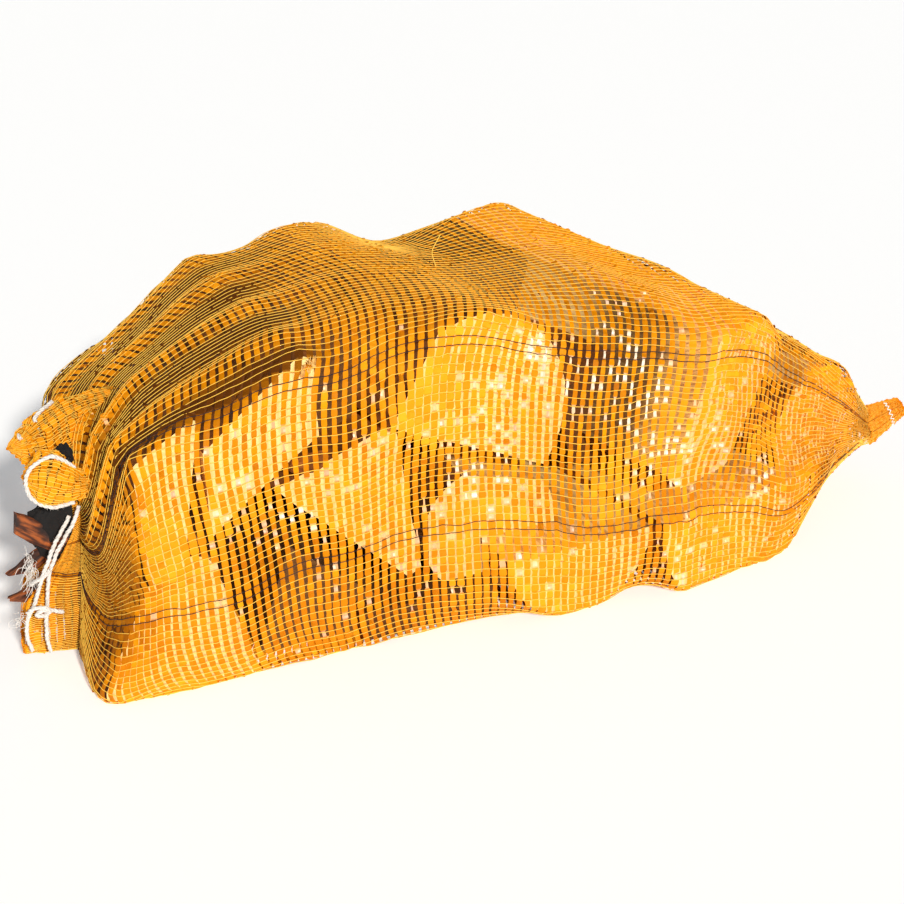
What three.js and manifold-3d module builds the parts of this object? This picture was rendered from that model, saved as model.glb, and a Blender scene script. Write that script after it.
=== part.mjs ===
// A net sack of split firewood, lying on its side.
// Millimetres. +X runs along the sack from its drawstring mouth to its sewn tail, +Y from the front, where the
// sawn ends of the logs show, to the back, and +Z up. The origin is on the floor, under the middle of the sack.
//
// The net is pulled tight over the logs, so its shape is worked out from them: each point of the net slides on a
// ray that leaves the middle of the sack, is drawn in by its neighbours, and is stopped by the logs.

import * as THREE from "three";
import Module from "manifold-3d";

// Driving dimensions
const LOG_LENGTH = 256; // sawn length of the firewood
const FRONT_PLANE = -128; // where the sawn ends line up
const NET_GAP = 1.5; // from a log's face to the outside of the net
const LOG_FACETS = 24; // flats round a log's bark

const SACK_MIDDLE = { y: 0, z: 108 }; // the line that the body's rays leave
const MOUTH_FOCUS = new THREE.Vector3(-238, -12, 106); // the rays fan out from here to the mouth
const MOUTH_NECK = {
  centre: new THREE.Vector3(-325, -50, 64), // an upright slit that leans to the right and the back
  halfHeight: 57,
  halfThickness: 8,
  slant: -8,
  lean: 6,
  square: 0,
};
const TAIL_FOCUS = new THREE.Vector3(250, -24, 80);
const TAIL_NECK = {
  centre: new THREE.Vector3(347, -50, 50),
  halfHeight: 20,
  halfThickness: 7,
  slant: 6,
  lean: 0,
  square: 0.6, // how far the ring turns square to the rays
};

const MOUTH_FAN_ROWS = 11;
const BODY_ROWS = 39;
const TAIL_FAN_ROWS = 9;
const COLUMNS = 72; // points round the sack
const PULL_ROUNDS = 500; // enough for the net to come to rest
const EASE_ROUNDS = 2; // takes the sharpest log corners off the net
const EASE_SHARE = 0.5; // of the way to the middle of the neighbours in each round
const EASE_SWELL = 1.6; // gives back what that takes off all round
const LOOSE_REACH = 120; // where the net starts from, at least
const END_SHARE = 0.8; // past this share of the half length the rays' middle goes over to the end's focus
const SLACK = { from: -215, to: 20, front: -127, back: 96, height: 13 }; // loose net that lies on the floor
const DIP = { x: -45, y: 92, turn: 18, along: 66, across: 24, depth: 15 }; // the net sags between two top logs

// The loose mouth past the neck: a skirt that hangs below, and hardly any net above.
const COLLAR = {
  rows: 4,
  reach: 6, // how far it stands off the neck at the top
  skirt: 32, // how much further at the foot
  skirtFrom: -0.25, // between these heights, in half heights of the neck, it goes over from one to the other
  skirtTo: 0.75,
  flare: 6, // how much it opens towards the rim
  rise: 6, // how much its foot lifts towards the rim
  ruffles: 11,
  ruffleDepth: 2,
  wall: 3.2, // the bunched net, taken as one thickness
  plug: 4, // the packed middle of the neck
};

// The gathered lobes above the mouth. Each is an oval body along a bent axis, with its half height above the axis,
// its half height below and its half thickness at each stop of the axis.
const LOBE_ROWS = 9;
const LOBE_COLUMNS = 18;
const LOBES = {
  hem: {
    stops: [
      [-300, -52, 137], [-312, -60, 140], [-322, -63, 142], [-332, -64, 145], [-341, -64, 150], [-349, -63, 152],
      [-354, -62, 153],
    ],
    sizes: [[5, 5, 5], [7, 8, 7], [12, 12, 10], [18, 17, 11], [21, 17, 11], [15, 13, 8], [3, 3, 3]],
  },
  flap: {
    stops: [
      [-280, 10, 168], [-300, -2, 170], [-320, -14, 168], [-339, -26, 165], [-351, -34, 165], [-359, -38, 164],
    ],
    sizes: [[8, 8, 8], [9, 16, 8], [14, 24, 9], [13, 20, 8], [5, 15, 6], [2, 2, 2]],
  },
};
const TAIL = { rows: 5, reach: 38, rise: 14, halfHeight: 8, halfThickness: 4 };

const STRING_RADIUS = 1.7;
const STRING_SIDES = 8;
const STRING_STEPS = 5; // between two stops of its route
const STRING_LIFT = 1.4; // clear of the ruffles

// Each log is a round billet with flats split off it. at is the middle of its front end as [x, z], and each split
// is [direction of the flat's normal in degrees, distance from the middle]. setback is behind the front plane,
// swing turns the back end to the left and lift raises it, both in degrees.
const LOGS = [
  { name: "left slab", at: [-271, 150], radius: 56, setback: 0, swing: 5, lift: -10,
    splits: [[347, 15], [180, 24], [117, 36], [290, 46]] },
  { name: "left top", at: [-210, 178], radius: 68, setback: 0, swing: 2, lift: -3,
    splits: [[0, 42], [129, 26], [306, 26], [180, 38]] },
  { name: "left foot", at: [-277, 41.5], radius: 67, setback: 0, swing: 0, lift: 0,
    splits: [[270, 40], [154, 34], [17, 46], [116, 56], [36, 58]] },
  { name: "sunk wedge", at: [-157, 39.5], radius: 72, setback: 22, swing: 0, lift: 0,
    splits: [[270, 38], [163, 44], [49, 15]] },
  { name: "middle wedge", at: [-137, 122], radius: 78, setback: 0, swing: 3, lift: 0,
    splits: [[109, 44], [9, 32], [226, 30]] },
  { name: "top middle", at: [-55, 165], radius: 80, setback: 0, swing: 12, lift: -1.5,
    splits: [[244, 18], [146, 66]] },
  { name: "sunk round", at: [-33, 65], radius: 50, setback: 22, swing: 0, lift: 0,
    splits: [[180, 46], [75, 42], [250, 42]] },
  { name: "middle foot", at: [24, 61.5], radius: 62, setback: -18, swing: 4, lift: 0,
    splits: [[270, 60], [90, -2]] },
  { name: "deep billet", at: [78, 128], radius: 50, setback: 56, swing: 12, lift: 8,
    splits: [[200, 40], [20, 40]] },
  { name: "right top", at: [150, 140], radius: 72, setback: 2, swing: 27, lift: 8.3,
    splits: [[164, 46], [338, 54], [90, 66], [262, 64]] },
  { name: "right foot", at: [162, 55.5], radius: 76, setback: -14, swing: 12, lift: 0,
    splits: [[270, 54], [90, 11]] },
  { name: "right end", at: [258, 90], radius: 50, setback: 34, swing: 20, lift: 0,
    splits: [[100, 46], [280, 48]] },
];

const NET_COLOUR = 0xf2a614;
const STRING_COLOUR = 0xf1ece4;
const BARK_COLOUR = 0x7a431b;

const manifold = await Module();
manifold.setup();

const degrees = THREE.MathUtils.degToRad;
const mix = THREE.MathUtils.lerp;

// The flat faces of one log, each as an outward normal and its distance from the world's origin along it.
function logFaces(log) {
  const swing = degrees(log.swing);
  const lift = degrees(log.lift);
  const level = Math.cos(lift);
  const along = new THREE.Vector3(-Math.sin(swing) * level, Math.cos(swing) * level, Math.sin(lift));
  const across = new THREE.Vector3(Math.cos(swing), Math.sin(swing), 0);
  const above = new THREE.Vector3().crossVectors(across, along);
  const front = new THREE.Vector3(log.at[0], FRONT_PLANE + log.setback, log.at[1]);
  const face = (normal, distance) => ({ normal, distance: normal.dot(front) + distance });
  const side = (angle, distance) => {
    const turn = degrees(angle);
    const normal = across.clone().multiplyScalar(Math.cos(turn)).addScaledVector(above, Math.sin(turn));
    return face(normal, distance);
  };
  const bark = Array.from({ length: LOG_FACETS }, (_, k) => side((360 * k) / LOG_FACETS, log.radius));
  const splits = log.splits.map(([angle, distance]) => side(angle, distance));
  const length = LOG_LENGTH - Math.max(0, log.setback);
  return [...bark, ...splits, face(along.clone().negate(), 0), face(along, length)];
}

// How far along a ray the last point of a log lies, or 0 where the ray misses it.
function lastPointInLog(faces, start, direction) {
  let enter = 0;
  let leave = Infinity;
  for (const { normal, distance } of faces) {
    const slope = normal.dot(direction);
    const room = distance - normal.dot(start);
    if (Math.abs(slope) < 1e-9) {
      if (room < 0) return 0;
    } else if (slope > 0) {
      leave = Math.min(leave, room / slope);
    } else {
      enter = Math.max(enter, room / slope);
    }
  }
  return leave > enter ? leave : 0;
}

const angleOf = (column) => (2 * Math.PI * column) / COLUMNS;
const outward = (column) => new THREE.Vector3(0, Math.cos(angleOf(column)), Math.sin(angleOf(column)));

// A point of a neck's ring, with its half sizes made less by inset and its thickness more by swell.
function neckPoint(neck, angle, inset = 0, swell = 0) {
  const rise = Math.sin(angle);
  const thickness = neck.halfThickness + swell - inset;
  const y = neck.lean * rise + thickness * Math.cos(angle);
  const z = (neck.halfHeight - inset) * rise;
  return new THREE.Vector3(-neck.slant * rise, y, z).add(neck.centre);
}

// A neck's ring turned square to the line from the focus.
function neckRing(focus, neck) {
  const axis = neck.centre.clone().sub(focus).normalize();
  return Array.from({ length: COLUMNS }, (_, column) => {
    const point = neckPoint(neck, angleOf(column));
    return point.addScaledVector(axis, -neck.square * point.clone().sub(neck.centre).dot(axis));
  });
}

// A row of rays that fan from the focus: share 0 points at the neck's ring, share 1 straight out of the sack.
function fanRow(focus, neck, share) {
  return neckRing(focus, neck).map((point, column) => {
    const direction = point.sub(focus).normalize().lerp(outward(column), share).normalize();
    return { start: focus, direction };
  });
}

function bodyRow(share) {
  const x = mix(MOUTH_FOCUS.x, TAIL_FOCUS.x, share);
  const toMouth = THREE.MathUtils.smoothstep(1 - share, END_SHARE, 1);
  const toTail = THREE.MathUtils.smoothstep(share, END_SHARE, 1);
  const middle = (axis) => {
    const fromMouth = mix(SACK_MIDDLE[axis], MOUTH_FOCUS[axis], toMouth);
    return mix(fromMouth, TAIL_FOCUS[axis], toTail);
  };
  const start = new THREE.Vector3(x, middle("y"), middle("z"));
  return Array.from({ length: COLUMNS }, (_, column) => ({ start, direction: outward(column) }));
}

function netRays() {
  const rows = [];
  const mouthStep = 1 / (MOUTH_FAN_ROWS + 1);
  const tailStep = 1 / (TAIL_FAN_ROWS + 1);
  for (let k = 1; k <= MOUTH_FAN_ROWS; k++) rows.push(fanRow(MOUTH_FOCUS, MOUTH_NECK, k * mouthStep));
  for (let k = 0; k <= BODY_ROWS; k++) rows.push(bodyRow(k / BODY_ROWS));
  for (let k = TAIL_FAN_ROWS; k >= 1; k--) rows.push(fanRow(TAIL_FOCUS, TAIL_NECK, k * tailStep));
  return rows;
}

// The loose net on the floor, as a low slab that the net can't be drawn into.
function slackFaces() {
  const face = (x, y, z, distance) => ({ normal: new THREE.Vector3(x, y, z), distance });
  return [
    face(-1, 0, 0, -SLACK.from),
    face(1, 0, 0, SLACK.to),
    face(0, -1, 0, -SLACK.front),
    face(0, 1, 0, SLACK.back),
    face(0, 0, -1, -NET_GAP),
    face(0, 0, 1, SLACK.height),
  ];
}

// How far the net sags at a point of the top.
function sagAt(point) {
  const turn = degrees(DIP.turn);
  const [dx, dy] = [point.x - DIP.x, point.y - DIP.y];
  const along = (-Math.sin(turn) * dx + Math.cos(turn) * dy) / DIP.along;
  const across = (Math.cos(turn) * dx + Math.sin(turn) * dy) / DIP.across;
  return point.z > SACK_MIDDLE.z ? DIP.depth * Math.exp(-along * along - across * across) : 0;
}

// The rows of points of the pulled net, from the mouth's neck to the tail's.
function pulledNet() {
  const logs = [...LOGS.map(logFaces), slackFaces()];
  const rays = netRays();
  const stops = rays.map((row) =>
    row.map(({ start, direction }) => {
      const reach = Math.max(...logs.map((faces) => lastPointInLog(faces, start, direction)));
      return reach > 0 ? reach + NET_GAP : 0;
    }),
  );
  const rows = rays.map((row, i) =>
    row.map(({ start, direction }, j) => {
      const reach = Math.max(stops[i][j], LOOSE_REACH);
      return start.clone().addScaledVector(direction, reach);
    }),
  );
  rows.unshift(neckRing(MOUTH_FOCUS, MOUTH_NECK));
  rows.push(neckRing(TAIL_FOCUS, TAIL_NECK));
  const middle = new THREE.Vector3();
  for (let round = 0; round < PULL_ROUNDS; round++) {
    for (let i = 1; i < rows.length - 1; i++) {
      for (let j = 0; j < COLUMNS; j++) {
        const { start, direction } = rays[i - 1][j];
        middle.copy(rows[i - 1][j]).add(rows[i + 1][j]);
        middle.add(rows[i][(j + 1) % COLUMNS]).add(rows[i][(j + COLUMNS - 1) % COLUMNS]);
        const pulled = middle.multiplyScalar(0.25).sub(start).dot(direction);
        rows[i][j].copy(start).addScaledVector(direction, Math.max(pulled, stops[i - 1][j]));
        rows[i][j].z = Math.max(0, rows[i][j].z);
      }
    }
  }
  for (let i = 1; i < rows.length - 1; i++) {
    for (let j = 0; j < COLUMNS; j++) {
      const { start, direction } = rays[i - 1][j];
      const drop = sagAt(rows[i][j]);
      const reach = rows[i][j].clone().sub(start).dot(direction) - drop;
      if (drop > 0.1) rows[i][j].copy(start).addScaledVector(direction, Math.max(reach, stops[i - 1][j]));
    }
  }
  for (let round = 0; round < EASE_ROUNDS; round++) {
    const before = rows.map((row) => row.map((point) => point.clone()));
    for (let i = 1; i < rows.length - 1; i++) {
      for (let j = 0; j < COLUMNS; j++) {
        middle.copy(before[i - 1][j]).add(before[i + 1][j]);
        middle.add(before[i][(j + 1) % COLUMNS]).add(before[i][(j + COLUMNS - 1) % COLUMNS]);
        rows[i][j].lerp(middle.multiplyScalar(0.25), EASE_SHARE);
      }
    }
  }
  for (let i = 1; i < rows.length - 1; i++) {
    for (let j = 0; j < COLUMNS; j++) {
      rows[i][j].addScaledVector(rays[i - 1][j].direction, EASE_SWELL);
      rows[i][j].z = Math.max(0, rows[i][j].z);
    }
  }
  return rows;
}

// One point of the loose mouth: share 0 at the neck and 1 at the rim, on its outer face or its inner one.
function collarPoint(angle, share, inside) {
  const rise = Math.sin(angle);
  const skirt = 1 - THREE.MathUtils.smoothstep(rise, COLLAR.skirtFrom, COLLAR.skirtTo);
  const ruffle = COLLAR.ruffleDepth * Math.cos(COLLAR.ruffles * angle);
  const point = neckPoint(MOUTH_NECK, angle, inside ? COLLAR.wall : 0, (COLLAR.flare + ruffle) * share);
  point.x -= (COLLAR.reach + COLLAR.skirt * skirt) * share;
  point.z += COLLAR.rise * Math.max(0, -rise) * share;
  return point;
}

function collarRows() {
  const columns = Array.from({ length: COLUMNS }, (_, column) => angleOf(column));
  const row = (share, inside) => columns.map((angle) => collarPoint(angle, share, inside));
  const shares = Array.from({ length: COLLAR.rows }, (_, k) => (k + 1) / COLLAR.rows);
  const inner = shares.map((share) => row(share, true));
  const outer = shares.map((share) => row(share, false)).reverse();
  return [row(0, true), ...inner, ...outer];
}

// The gathered bottom end, pressed flat and sewn, which narrows to its tip.
function tailRows() {
  const root = TAIL_NECK;
  return Array.from({ length: TAIL.rows }, (_, k) => {
    const share = (k + 1) / TAIL.rows;
    const thickness = mix(root.halfThickness, TAIL.halfThickness, share);
    const height = mix(root.halfHeight, TAIL.halfHeight, Math.pow(share, 0.8));
    const centre = root.centre.clone().add(new THREE.Vector3(TAIL.reach * share, 0, TAIL.rise * share));
    return Array.from({ length: COLUMNS }, (_, column) => {
      const out = outward(column);
      return new THREE.Vector3(-root.slant * out.z, thickness * out.y, height * out.z).add(centre);
    });
  });
}

// A closed solid from rows of points round it, with a fan of triangles over each end.
function solidFromRows(rows, firstPole, lastPole) {
  const points = [firstPole, ...rows.flat(), lastPole];
  const columns = rows[0].length;
  const faces = [];
  const at = (row, column) => 1 + row * columns + (column % columns);
  for (let column = 0; column < columns; column++) {
    faces.push(0, at(0, column + 1), at(0, column));
    for (let row = 0; row < rows.length - 1; row++) {
      const [a, b] = [at(row, column), at(row, column + 1)];
      const [c, d] = [at(row + 1, column), at(row + 1, column + 1)];
      faces.push(a, b, c, b, d, c);
    }
    faces.push(at(rows.length - 1, column), at(rows.length - 1, column + 1), points.length - 1);
  }
  const vertProperties = new Float32Array(points.flatMap((point) => point.toArray()));
  const triVerts = new Uint32Array(faces);
  return new manifold.Manifold(new manifold.Mesh({ numProp: 3, vertProperties, triVerts }));
}

function sackSolid() {
  const plug = MOUTH_NECK.centre.clone();
  plug.x -= COLLAR.plug;
  const tailEnd = TAIL_NECK.centre.clone().add(new THREE.Vector3(TAIL.reach, 0, TAIL.rise));
  return solidFromRows([...collarRows(), ...pulledNet(), ...tailRows()], plug, tailEnd);
}

const smoothLine = (stops) => {
  const points = stops.map((stop) => new THREE.Vector3(...stop));
  return new THREE.CatmullRomCurve3(points, false, "catmullrom", 0.5);
};

// One point of a lobe, at an angle from its top towards the back, and out off its face.
function lobePoint({ stops, sizes }, share, angle, out = 0) {
  const axis = smoothLine(stops);
  const along = axis.getTangent(share);
  const up = new THREE.Vector3(0, 0, 1).addScaledVector(along, -along.z).normalize();
  const back = new THREE.Vector3().crossVectors(along, up);
  const { x: above, y: below, z: thickness } = smoothLine(sizes).getPoint(share);
  const height = mix(below, above, (1 + Math.cos(angle)) / 2) + out;
  const point = axis.getPoint(share).addScaledVector(up, height * Math.cos(angle));
  return point.addScaledVector(back, (thickness + out) * Math.sin(angle));
}

function lobeSolid(lobe) {
  const rows = Array.from({ length: LOBE_ROWS }, (_, row) =>
    Array.from({ length: LOBE_COLUMNS }, (_, column) =>
      lobePoint(lobe, row / (LOBE_ROWS - 1), (2 * Math.PI * column) / LOBE_COLUMNS),
    ),
  );
  const axis = smoothLine(lobe.stops);
  return solidFromRows(rows, axis.getPoint(0), axis.getPoint(1));
}

// The sack with its lobes, as one body.
function netGeometry() {
  const fused = Object.values(LOBES).reduce((whole, lobe) => whole.add(lobeSolid(lobe)), sackSolid());
  const { vertProperties, triVerts } = fused.getMesh();
  const geometry = new THREE.BufferGeometry();
  geometry.setAttribute("position", new THREE.BufferAttribute(vertProperties, 3));
  geometry.setIndex(new THREE.BufferAttribute(triVerts, 1));
  geometry.computeVertexNormals();
  return geometry;
}

// A bark sliver that pokes out of the mouth: a split piece with a slanting broken tip.
function sliverGeometry({ length, width, thickness, tip, at, roll, climb }) {
  const outline = new THREE.Shape();
  outline.moveTo(0, -width / 2);
  outline.lineTo(length - tip, -width / 2);
  outline.lineTo(length, -width / 5);
  outline.lineTo(length - tip * 0.55, width / 2.4);
  outline.lineTo(0, width / 2);
  outline.closePath();
  const geometry = new THREE.ExtrudeGeometry(outline, { depth: thickness, bevelEnabled: false });
  geometry.translate(0, 0, -thickness / 2);
  geometry.rotateX(degrees(roll));
  geometry.rotateY(degrees(180 + climb));
  geometry.translate(...at);
  return geometry;
}

// A point of the string in the hem, clear of the lobe's face.
const onHem = (share, turn) => lobePoint(LOBES.hem, share, degrees(turn), STRING_RADIUS + STRING_LIFT);

// A round string along a smooth route through its stops.
function stringGeometry(stops) {
  const section = new THREE.Shape();
  for (let k = 0; k < STRING_SIDES; k++) {
    const turn = (2 * Math.PI * k) / STRING_SIDES;
    const [x, y] = [STRING_RADIUS * Math.cos(turn), STRING_RADIUS * Math.sin(turn)];
    if (k === 0) section.moveTo(x, y);
    else section.lineTo(x, y);
  }
  section.closePath();
  const extrudePath = new THREE.CatmullRomCurve3(stops);
  const steps = stops.length * STRING_STEPS;
  return new THREE.ExtrudeGeometry(section, { steps, bevelEnabled: false, extrudePath });
}

const SLIVERS = {
  bark_sliver_upper: { at: [-333, -50, 90], length: 44, width: 17, thickness: 6, tip: 10, roll: 90, climb: 38 },
  bark_sliver_middle: { at: [-334, -43.5, 90], length: 44, width: 12, thickness: 5.5, tip: 16, roll: 90, climb: -32 },
  bark_sliver_lower: { at: [-352, -50, 58], length: 24, width: 11, thickness: 6, tip: 12, roll: 80, climb: -15 },
};
const STRINGS = {
  drawstring_hem: [
    onHem(0.38, -25),
    onHem(0.5, -25),
    onHem(0.68, -28),
    onHem(0.85, -45),
    onHem(0.93, -90),
    onHem(0.85, -135),
    onHem(0.68, -150),
    onHem(0.5, -152),
    onHem(0.34, -150),
  ],
  drawstring_end_long: [
    new THREE.Vector3(-321, -64, 125),
    new THREE.Vector3(-326, -67, 115),
    new THREE.Vector3(-333, -70, 107),
    new THREE.Vector3(-342, -72, 94),
    new THREE.Vector3(-348, -73, 80),
    new THREE.Vector3(-352, -73, 57),
    new THREE.Vector3(-355, -73, 35),
    new THREE.Vector3(-354, -73, 20),
  ],
  drawstring_end_short: [
    new THREE.Vector3(-328, -61, 117),
    new THREE.Vector3(-335, -66, 109),
    new THREE.Vector3(-343, -71, 99),
    new THREE.Vector3(-353, -73, 79),
    new THREE.Vector3(-360, -73, 61),
    new THREE.Vector3(-366, -73, 50),
    new THREE.Vector3(-368, -73, 36),
    new THREE.Vector3(-366, -73, 24),
  ],
};

const sack = new THREE.Group();

function addPiece(name, geometry, color, roughness) {
  const piece = new THREE.Mesh(geometry, new THREE.MeshStandardMaterial({ color, roughness, metalness: 0 }));
  piece.name = name;
  sack.add(piece);
}

addPiece("net_of_logs", netGeometry(), NET_COLOUR, 0.35);
for (const [name, sliver] of Object.entries(SLIVERS)) addPiece(name, sliverGeometry(sliver), BARK_COLOUR, 0.9);
for (const [name, stops] of Object.entries(STRINGS)) addPiece(name, stringGeometry(stops), STRING_COLOUR, 0.8);

// Put the origin on the floor under the middle of the whole.
const extent = new THREE.Box3().setFromObject(sack);
const toOrigin = extent.getCenter(new THREE.Vector3()).negate().setZ(-extent.min.z);
for (const piece of sack.children) piece.geometry.translate(...toOrigin);

export default sack;
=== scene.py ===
import math
import random

import bmesh
import bpy
import numpy as np
from mathutils import Matrix, Vector, kdtree, noise


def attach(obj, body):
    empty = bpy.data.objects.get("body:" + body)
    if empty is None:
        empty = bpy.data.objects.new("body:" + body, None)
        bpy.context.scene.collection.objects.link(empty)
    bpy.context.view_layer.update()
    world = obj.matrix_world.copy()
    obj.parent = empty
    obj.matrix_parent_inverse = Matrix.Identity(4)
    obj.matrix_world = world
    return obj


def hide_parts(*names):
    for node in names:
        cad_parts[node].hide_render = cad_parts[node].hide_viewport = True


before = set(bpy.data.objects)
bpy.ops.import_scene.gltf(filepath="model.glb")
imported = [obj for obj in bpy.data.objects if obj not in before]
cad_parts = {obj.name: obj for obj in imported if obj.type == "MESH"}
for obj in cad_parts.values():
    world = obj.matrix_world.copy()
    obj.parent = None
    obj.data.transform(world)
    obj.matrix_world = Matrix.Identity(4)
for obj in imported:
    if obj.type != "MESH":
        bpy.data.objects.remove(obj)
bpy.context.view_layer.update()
milli = 0.001
# the sack is laid out in millimetres about its own middle and moved onto the CAD frame
sackShift = np.array([-7.561, 9.459, 0.0])


# small helpers for vectors held in arrays
def unit(vectors):
    return vectors / np.maximum(np.linalg.norm(vectors, axis=-1, keepdims=True), 1e-9)


def dots(first, last):
    return np.einsum("ijk,ijk->ij", first, last)


def mix(first, last, share):
    return first + (last - first) * share


def eased(value, low, high):
    share = np.clip((value - low) / (high - low), 0, 1)
    return share * share * (3 - 2 * share)


def inFrame(points):
    return (np.asarray(points, float) + sackShift) * milli


# seeded unevenness over the net's grid, smooth over so many rows and columns
def softField(shape, spanRows, spanColumns, seed):
    grains = np.random.default_rng(seed).normal(size=shape)
    waveRows = np.fft.fftfreq(shape[0])[:, None]
    waveColumns = np.fft.fftfreq(shape[1])[None, :]
    keep = np.exp(-((waveRows * spanRows) ** 2 + (waveColumns * spanColumns) ** 2) * 6.0)
    field = np.fft.ifft2(np.fft.fft2(grains) * keep).real
    return field / field.std()


# one small class carries shader arithmetic
class Wire:
    def __init__(self, finish, socket):
        self.finish = finish
        self.socket = socket

    def __add__(self, other):
        return self.finish.node("ShaderNodeMath", {"operation": "ADD"}, {0: self, 1: other})

    def __mul__(self, other):
        return self.finish.node("ShaderNodeMath", {"operation": "MULTIPLY"}, {0: self, 1: other})

    __radd__ = __add__
    __rmul__ = __mul__


class Finish:
    def __init__(self, name, **constants):
        self.material = bpy.data.materials.new(name)
        self.material.use_nodes = True
        self.tree = self.material.node_tree
        self.put(**constants)

    def put(self, **inputs):
        surface = self.tree.nodes["Principled BSDF"]
        for name, value in inputs.items():
            self.feed(surface.inputs[name.replace("_", " ")], value)
        return self.material

    def feed(self, socket, value):
        if isinstance(value, Wire):
            self.tree.links.new(value.socket, socket)
        elif socket.type == "RGBA":
            socket.default_value = (*value, 1.0)
        else:
            socket.default_value = value

    def node(self, kind, settings=None, inputs=None, output=0):
        made = self.tree.nodes.new(kind)
        for name, value in (settings or {}).items():
            setattr(made, name, value)
        for name, value in (inputs or {}).items():
            self.feed(made.inputs[name], value)
        return Wire(self, made.outputs[output])

    def mark(self, label, output=2):  # output 2 is a number, 1 a vector
        return self.node("ShaderNodeAttribute", {"attribute_name": label}, None, output)

    def drawnOut(self, grain, share):  # pattern stretched along the grain
        return self.node("ShaderNodeMapping", None, {"Vector": grain, "Scale": (1.0, 1.0, share)})

    def clouds(self, place, scale, detail, output=0):
        inputs = {"Vector": place, "Scale": scale, "Detail": detail}
        return self.node("ShaderNodeTexNoise", None, inputs, output)

    def blend(self, first, last, share, kind="MIX"):
        settings = {"data_type": "RGBA", "blend_type": kind}
        return self.node("ShaderNodeMix", settings, {0: share, 6: first, 7: last}, 2)

    def stepped(self, value, low, high):
        settings = {"interpolation_type": "SMOOTHSTEP"}
        return self.node("ShaderNodeMapRange", settings, {0: value, 1: low, 2: high})

    def relief(self, strength, distance, height):
        inputs = {"Strength": strength, "Distance": distance, "Height": height}
        return self.node("ShaderNodeBump", None, inputs)


# colours are written as they look on screen
def shown(red, green, blue):
    return tuple(c / 12.92 if c <= 0.04045 else ((c + 0.055) / 1.055) ** 2.4
                 for c in (red / 255, green / 255, blue / 255))


def linked(name, data):
    made = bpy.data.objects.new(name, data)
    bpy.context.scene.collection.objects.link(made)
    return made


# camera of the photo
viewing = {"yaw": -23.0, "elevation": 27.0, "distance": 1.1, "lens": 58.4, "sensor": 36.0,
           "target": (-45, -62, 110)}


def directionAt(yaw, elevation):
    yaw = math.radians(yaw)
    rise = math.radians(elevation)
    return Vector((math.sin(yaw) * math.cos(rise), -math.cos(yaw) * math.cos(rise), math.sin(rise)))


def placeCamera():
    away = directionAt(viewing["yaw"], viewing["elevation"])
    data = bpy.data.cameras.new("photoCamera")
    data.lens = viewing["lens"]
    data.sensor_width = viewing["sensor"]
    data.clip_start = 0.01
    camera = linked("photoCamera", data)
    camera.location = Vector(inFrame(viewing["target"])) + away * viewing["distance"]
    camera.rotation_euler = (-away).to_track_quat("-Z", "Y").to_euler()
    bpy.context.scene.camera = camera


placeCamera()
print("camera placed")


# finished pieces come from arrays of points in the sack's own millimetres
def pieceFrom(name, points, faces, materials, marks=None, slots=None, smooth=True):
    mesh = bpy.data.meshes.new(name)
    mesh.from_pydata(inFrame(points).tolist(), [], faces)
    for material in materials:
        mesh.materials.append(material)
    for label, values in (marks or {}).items():
        single = np.ndim(values) == 1
        layer = mesh.attributes.new(label, "FLOAT" if single else "FLOAT_VECTOR", "POINT")
        layer.data.foreach_set("value" if single else "vector", np.ravel(values))
    if slots is not None:
        mesh.polygons.foreach_set("material_index", slots)
    mesh.polygons.foreach_set("use_smooth", [smooth] * len(mesh.polygons))
    mesh.update()
    piece = linked(name, mesh)
    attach(piece, "root")
    return piece


# smooth curves through a few stops
def withEnds(stops):
    knots = np.array(stops, float)
    return np.vstack([2 * knots[0] - knots[1], knots, 2 * knots[-1] - knots[-2]])


def curveStep(a, b, c, d, t):
    return 0.5 * (2 * b + (c - a) * t + (2 * a - 5 * b + 4 * c - d) * t ** 2
                  + (3 * b - a - 3 * c + d) * t ** 3)


def curveAt(stops, share):
    spot = min(max(share, 0.0), 0.99999) * (len(stops) - 1)
    i = int(spot)
    return curveStep(*withEnds(stops)[i:i + 4], spot - i)


def curvePoints(stops, count):
    knots = withEnds(stops)
    t = np.linspace(0, 1, 24, endpoint=False)[:, None]
    steps = [curveStep(*knots[i:i + 4], t) for i in range(len(stops) - 1)]
    return evenLine(np.vstack(steps + [knots[-2:-1]]), count)


def lineRun(line):
    return np.concatenate([[0], np.cumsum(np.linalg.norm(np.diff(line, axis=0), axis=1))])


def lineLength(line):
    return float(lineRun(line)[-1])


def evenLine(line, count):
    run = lineRun(line)
    spots = np.linspace(0, run[-1], count)
    return np.stack([np.interp(spots, run, line[:, k]) for k in range(3)], axis=1)


# two directions square to a line, without twist
def lineFrames(line):
    along = unit(np.gradient(line, axis=0))
    aside = np.zeros_like(line)
    start = np.array([0.0, 0.0, 1.0]) if abs(along[0][2]) < 0.8 else np.array([0.0, 1.0, 0.0])
    for i, step in enumerate(along):
        start = start - step * np.dot(start, step)
        start = start / np.linalg.norm(start)
        aside[i] = start
    return aside, np.cross(along, aside)


def tubeFaces(first, stations, sides):
    faces = []
    last = first + (stations - 1) * sides
    for a in range(first, last, sides):
        for k in range(sides):
            n = (k + 1) % sides
            faces.append((a + k, a + n, a + sides + n, a + sides + k))
    faces.append(tuple(first + k for k in reversed(range(sides))))
    faces.append(tuple(last + k for k in range(sides)))
    return faces


def tubeAlong(line, radius, sides, points, faces):
    aside, above = lineFrames(line)
    faces.extend(tubeFaces(len(points), len(line), sides))
    for centre, a, b, r in zip(line, aside, above, np.broadcast_to(radius, len(line))):
        for k in range(sides):
            turn = 2 * math.pi * k / sides
            points.append(centre + r * (math.cos(turn) * a + math.sin(turn) * b))


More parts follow.
